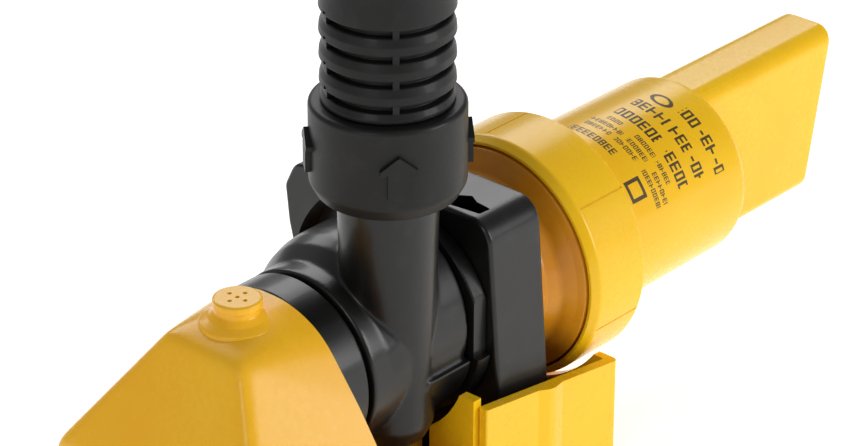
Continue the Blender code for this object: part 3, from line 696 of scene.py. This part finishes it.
# arm on the far side, hollowed around the wet end
armOutline = [(12, 46), (28.8, 46, 0.8), (30.8, 54, 4.0), (31.8, 62.8, 3.0),
              (28.6, 69.4, 4.6), (12, 69.4, 0.8)]
farArm = drawn("farArm", armOutline, 20.0, 38.0, "X", ease=7)
edgeRounded(farArm, lambda spot: abs(spot.x - 20.0) < 0.01, 0.9, 4)
cutAway(farArm, peg("armClearance", 29.4, 10, 26.3, pumpAxis, "X", 144))
fused(switchHousing, farArm)
notchOutline = [(27.7, -8.2, 0.3), (32.0, -7.4, 0.5), (34.2, -10.6, 0.5), (32.7, -13.2, 0.3),
                (32.2, -17.4, 0.3), (28.9, -17.2, 0.5)]
cutAway(switchHousing,
        peg("clearance", 25.3, 5, 26.45, pumpAxis, "X", 144),
        drawn("hollow", housingOutline(2.2), 29.2, 45.0, "X"),
        peg("shaftHole", 3.0, 20, 32, pumpAxis, "X", 32),
        drawn("notch", notchOutline, 63.0, 72.0, "Z", ease=3),
        peg("glandHole", 3.3, 18, 30, (34.5, 0, 40), "Y", 32))
settled(switchHousing, finishes["black"], "black", "pump", "switch_housing", smooth=30.0)

switchCover = drawn("switchCover", housingOutline(0.15), 41.15, 43.1, "X", ease=9)
edgeRounded(switchCover, lambda spot: abs(spot.x - 43.1) < 0.01, 0.7, 3)
cutAway(switchCover, peg("hole", 3.0, 38, 45, pumpAxis, "X", 32))
for y, z in ((-21.0, 8.5), (21.0, 8.5), (-16.5, 64.0), (16.5, 64.0)):
    cutAway(switchCover, peg("hole", 1.2, 40, 45, (0, y, z), "X", 20))
coverFoot = block("coverFoot", (41.3, -27.2, 4.0), (45.9, -23.5, 24.6))
fused(switchCover, softened(coverFoot, 0.6, 3))
settled(switchCover, finishes["black"], "black", "pump", "switch_cover")
print("wet end and switch housing made")


# pump head and locking ring
headOutline = [(43.4, 18.6), (43.4, 20.2, 0.3), (48.4, 20.2, 3.0), (51.6, 21.4, 2.5),
               (53.5, 24.6, 1.6), (54.3, 26.3, 0.5), (59.5, 26.3, 0.2), (59.5, 18.6)]
pumpHead = turned("pumpHead", headOutline, steps=180, ease=8)
# the neck finish is the darker, browner copy of the yellow, painted shade
settled(pumpHead, finishes["neck"], "yellow", "pump", "pump_head", smooth=60.0)

ring = {"front": 54.7, "rear": 72.0, "radius": 28.8, "seams": 6, "seamStart": 19.0}
ringOutline = [(ring["front"], 26.9), (ring["front"], 27.5, 0.3), (56.6, ring["radius"], 1.6),
               (ring["rear"], ring["radius"], 0.8), (ring["rear"], 22.5, 0.4), (68.0, 22.5),
               (68.0, 26.9)]
lockingRing = turned("lockingRing", ringOutline, steps=216, ease=8)
for seam in range(ring["seams"]):
    turn = ring["seamStart"] + seam * 360 / ring["seams"]
    groove = block("seam", (57.0, 28.5, axisHeight - 0.22), (71.4, 29.4, axisHeight + 0.22))
    cutAway(lockingRing, spunRound(groove, turn, pumpAxis, "X"))
settled(lockingRing, finishes["yellow"], "yellow", "ring", "locking_ring", smooth=40.0)


# motor barrel with tail fin
barrel = {"end": 119.0, "radius": 22.1, "finHalf": 8.0, "finLow": 22.2, "finTop": 62.5,
          "finEnd": 170.0, "lean": 0.2}
barrelOutline = [(60.0, 19.8), (60.0, 22.7), (61.3, 22.7), (61.3, 24.5), (60.0, 24.5),
                 (60.0, 26.3), (67.6, 26.3, 0.2), (67.6, barrel["radius"]),
                 (barrel["end"], 21.85, 2.8), (barrel["end"], 0), (116.6, 0), (116.6, 19.8)]
motorHousing = turned("motorHousing", barrelOutline, steps=180, ease=8)
finHalf, finLow, finTop = barrel["finHalf"], barrel["finLow"], barrel["finTop"]
finOutline = [(-finHalf, finLow, 3.0), (finHalf, finLow, 3.0),
              (finHalf, finTop, 4.4), (-finHalf, finTop, 4.4)]
tailFin = drawn("tailFin", finOutline, 116.9, barrel["finEnd"], "X", ease=7)
for vertex in tailFin.data.vertices:  # the end of the fin leans back towards its foot
    if vertex.co.x > 0.15:
        vertex.co.x += barrel["lean"] * (vertex.co.z - finTop * mm)
edgeRounded(tailFin, lambda spot: spot.x > 150, 2.2, 6)
fused(motorHousing, tailFin)
cutAway(motorHousing, block("finHollow", (112, -5.8, 25), (158, 5.8, 58)))
settled(motorHousing, finishes["barrel"], "yellow", "pump", "motor_housing", smooth=32.0)
print("motor end made")


# outlet collar
collar = {"arrows": (-130, -40, 50, 140), "radius": 16.55, "proud": 17.5}
collarOutline = [(80.8, 11.2), (80.8, 13.4, 0.5), (81.6, 15.0, 1.2), (84.4, collar["radius"], 2.4),
                 (102.5, collar["radius"], 2.5), (102.5, 14.0, 0.2),
                 (102.2, 12.4), (88.0, 12.4), (88.0, 8.6), (85.6, 8.6), (85.6, 11.2)]
outletCollar = turned("outletCollar", collarOutline, tubeAxis, "Z", 144)
arrowOutline = [(-2.3, 87.4, 0.2), (2.3, 87.4, 0.2), (2.3, 93.2), (3.9, 92.6, 0.2),
                (3.9, 93.9, 0.2), (0, 96.9, 0.3), (-3.9, 93.9, 0.2), (-3.9, 92.6, 0.2),
                (-2.3, 93.2)]
for degrees in collar["arrows"]:
    # drawn out along X on the +X side of the tube, then turned round it
    arrow = drawn("arrow", arrowOutline, 14.2, collar["proud"], "X",
                  (volute["tubeX"], volute["tubeY"], 0))
    fused(outletCollar, spunRound(arrow, degrees, tubeAxis, "Z"))
settled(outletCollar, finishes["matt"], "black", "outlet", "outlet_collar", smooth=35.0)


# hose tail
tail = {"start": 106.8, "pitch": 5.55, "grooves": 4, "low": 14.2, "high": 13.4, "neck": 11.9}
tailOutline = [(92.8, 11.0), (92.8, 12.1), (101.9, 12.1), (102.75, 12.6), (102.75, 14.0, 0.2),
               (103.6, 14.0, 0.6), (tail["start"] - 1.9, 13.5, 0.4),
               (tail["start"] - 1.75, tail["neck"], 0.2)]
for rib in range(tail["grooves"]):
    low = tail["start"] + tail["pitch"] * rib
    top = low + tail["pitch"] - 1.75 if rib < 3 else 132.0
    tailOutline += [(low, tail["neck"], 0.2), (low, tail["low"], 0.3), (low + 1.8, 14.05, 1.5),
                    (top - 0.1, tail["high"], 0.6), (top, tail["neck"], 0.2)]
for rib in range(2):
    low = 133.2 + 4.2 * rib
    tailOutline += [(low, tail["neck"], 0.2), (low, tail["low"], 0.3), (low + 3.0, 13.5, 0.6)]
    tailOutline += [(low + 3.1, tail["neck"], 0.2)] if rib == 0 else []
tailOutline += [(141.4, 9.9, 1.5), (143.0, 9.1, 0.4)]
for rib in range(3):
    low = 143.2 + 4.6 * rib
    tailOutline += [(low, 9.1), (low, 10.0, 0.25), (low + 3.9, 9.15, 0.3)]
tailOutline += [(158.0, 8.9, 0.4), (158.0, 7.4, 0.3), (141.0, 7.4), (136.0, 11.0)]
hoseTail = turned("hoseTail", tailOutline, tubeAxis, "Z", 144)


def sector(name, inner, outer, start, end, low, high):
    # an upright wall that follows a circle about the tube, from one bearing to another
    outline = []
    for radius, first, last in ((outer, start, end), (inner, end, start)):
        for step in range(9):
            turn = math.radians(first + (last - first) * step / 8)
            outline.append((radius * math.cos(turn), radius * math.sin(turn)))
    return drawn(name, outline, low, high, "Z", tubeAxis)


# the moulding's split lines bridge the grooves: two narrow webs and two wide ones
for start, end in ((-133.4, -127.6), (46.6, 52.4), (118.0, 157.0), (-36.0, -22.0)):
    fused(hoseTail, sector("web", 11.6, 13.5, start, end, 104.2, 138.0))
for rib in range(tail["grooves"]):  # square ends of the grooves beside the wide web
    low = tail["start"] + tail["pitch"] * rib
    cutAway(hoseTail, sector("grooveEnd", 11.8, 14.6, 155.5, 160.0, low - 2.0, low + 0.9))
settled(hoseTail, finishes["matt"], "black", "outlet", "hose_tail", smooth=35.0)
print("outlet made")


# strainer base tray
base = {
    "front": 16.0,
    "rear": 62.0,
    "wide": 30.0,
    "bump": 1.0,
    "wall": 2.4,
    "floor": 2.6,
    "rimFall": 0.142,
    "ease": 0.45,
}


def rimHeight(x):
    return 30.6 - base["rimFall"] * (x - 17.3)


def trayWall():
    # plan of the long walls, each with a shallow upright swelling, then round the rear corners
    wide, wall, swell = base["wide"], base["wall"], base["wide"] + base["bump"]
    side = [(base["front"] + 1.2, wide, 0.6), (34.4, wide, 2.0), (37.2, swell, 2.0),
            (39.0, swell, 2.0), (42.6, wide, 2.0), (base["rear"], wide, 1.6)]
    outer = [(x, -y, ease) for x, y, ease in side] + side[::-1]
    inner = [(base["front"] + 1.2, wide - wall, 0.6), (base["rear"] - wall, wide - wall, 0.6),
             (base["rear"] - wall, wall - wide, 0.6), (base["front"] + 1.2, wall - wide, 0.6)]
    tray = drawn("strainerBase", outer + inner, 1.0, 40.0, "Z")
    edit(tray)
    slope = (base["rimFall"], 0.0, 1.0)
    bpy.ops.mesh.bisect(plane_co=(0.0173, 0, 0.0306), plane_no=slope, use_fill=True,
                        clear_outer=True)
    return cleaned(tray)


strainerBase = trayWall()
cutAway(strainerBase, block("rearDip", (56, -27.5, 24.9), (70, 27.5, 60)))
footOutline = [(-57, -33, 3), (-20, -40.5, 4), (16, -30, 2), (62, -30, 1.6), (62, 30, 1.6),
               (16, 30, 2), (-20, 40.5, 4), (-57, 33, 3)]
fused(strainerBase, drawn("floorPlate", footOutline, 0.0, base["floor"], "Z"))
fused(strainerBase, block("combWall", (15.8, -27.45, 1.0), (18.2, 27.45, 32.4)))
for side in (-1, 1):
    low, high = sorted((side * 25.8, side * 28.2))
    fused(strainerBase, block("frontWall", (-42, low, 1.0), (12, high, 17.0)))
fused(strainerBase, block("noseWall", (-48, -25.4, 1.0), (-45.6, 25.4, 17.0)))
fused(strainerBase, block("saddle", (6, -20, 1.0), (9, 20, 20.0)))
cutAway(strainerBase, peg("ringClearance", 30.2, 56, 66, pumpAxis, "X", 160),
        peg("voluteClearance", 25.3, 3, 22, pumpAxis, "X", 160))
for low, high in ((-14.9, -10.6), (-1.6, 2.7), (11.0, 15.3), (23.0, 26.0)):
    cutAway(strainerBase, block("combSlot", (14, low, 6.0), (18.9, high, 40)))
for slot in range(6):
    x = -38.0 + 8.0 * slot
    cutAway(strainerBase, block("frontSlot", (x, -31, 5), (x + 3, 31, 14)))
for slot in range(5):
    y = -21.5 + 10.0 * slot
    cutAway(strainerBase, block("noseSlot", (-50, y, 5), (-43, y + 3, 14)))
for x, y in ((-36, 0), (50, -20), (50, 20)):
    cutAway(strainerBase, peg("screwHole", 2.4, -2, 6, (x, y, 0), "Z", 32))
softened(strainerBase, base["ease"], 3, 40.0)
settled(strainerBase, finishes["yellow"], "yellow", "pump", "strainer_base", smooth=30.0)
print("tray made")


# nodes that keep the solid they have in the frame
carried = {
    "black": ("inlet_guard", "impeller", "brush_plate"),
    "rubber": ("shaft_seal", "housing_o_ring", "collar_o_ring", "valve_seat", "valve_flap",
               "cable_gland"),
    "steel": ("casing_screw_1", "casing_screw_2", "casing_screw_3", "cover_screw_1",
              "cover_screw_2", "cover_screw_3", "cover_screw_4", "motor_can", "armature",
              "shaft", "flap_pin"),
    "magnet": ("magnet_upper", "magnet_lower", "brush_near", "brush_far"),
    "copper": ("sensor_plate_lower", "sensor_plate_upper", "commutator"),
    "winding": ("winding_front", "winding_rear"),
    "bronze": ("front_bearing", "rear_bearing"),
    "board": ("circuit_board",),
}
for finishName, names in carried.items():
    for name in names:
        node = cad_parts[name]
        node.data.materials.clear()
        node.data.materials.append(finishes[finishName])
print("nodes finished")


# studio
studio = {
    "camera": (-0.48172, -0.45832, 0.41980),
    "right": (0.66754, -0.74457, 0.00248),
    "up": (0.34373, 0.31113, 0.88603),
    "back": (-0.66049, -0.59060, 0.46362),
    "lens": 151.73,
}


def standingCamera():
    data = bpy.data.cameras.new("studioCamera")
    camera = bpy.data.objects.new("studioCamera", data)
    bpy.context.scene.collection.objects.link(camera)
    data.sensor_width = 36.0
    data.sensor_fit = "HORIZONTAL"
    data.lens = studio["lens"]
    data.clip_start = 0.01
    turn = Matrix((studio["right"], studio["up"], studio["back"])).transposed().to_4x4()
    camera.matrix_world = Matrix.Translation(studio["camera"]) @ turn
    bpy.context.scene.camera = camera


def softbox(name, place, aim, size, power):
    data = bpy.data.lights.new(name, "AREA")
    data.shape = "RECTANGLE"
    data.size, data.size_y = size
    data.energy = power
    lamp = bpy.data.objects.new(name, data)
    bpy.context.scene.collection.objects.link(lamp)
    lamp.location = place
    lamp.rotation_euler = (Vector(place) - Vector(aim)).to_track_quat("Z", "Y").to_euler()


def paleFloor():
    rest()
    bpy.ops.mesh.primitive_plane_add(size=8.0, location=(0, 0, -0.0002))
    floor = bpy.context.active_object
    floor.name = "studioFloor"
    finish = Finish("paleFloor", Roughness=0.9, Emission_Strength=0.62,
                    Emission_Color=(1, 1, 1, 1))
    grain = finish.noise(30.0, 3.0)
    finish.feed("Base Color", finish.blend(grain, (0.90, 0.90, 0.90, 1), (0.94, 0.94, 0.94, 1)))
    floor.data.materials.append(finish.material)


def paleSky():
    world = bpy.data.worlds.new("paleStudio")
    bpy.context.scene.world = world
    world.use_nodes = True
    background = world.node_tree.nodes["Background"]
    background.inputs["Color"].default_value = (1.0, 1.0, 1.0, 1)
    background.inputs["Strength"].default_value = 0.26


standingCamera()
paleFloor()
paleSky()
middle = (0.03, 0.0, 0.06)
softbox("keyLight", (0.50, -0.95, 0.42), middle, (0.5, 0.5), 5.6)
softbox("backLight", (0.62, 0.80, 0.80), middle, (1.2, 0.6), 8.0)
softbox("frontLight", (-0.95, -0.25, 0.55), middle, (0.4, 0.4), 1.9)
bpy.context.scene.view_settings.view_transform = "Standard"
print("studio set")
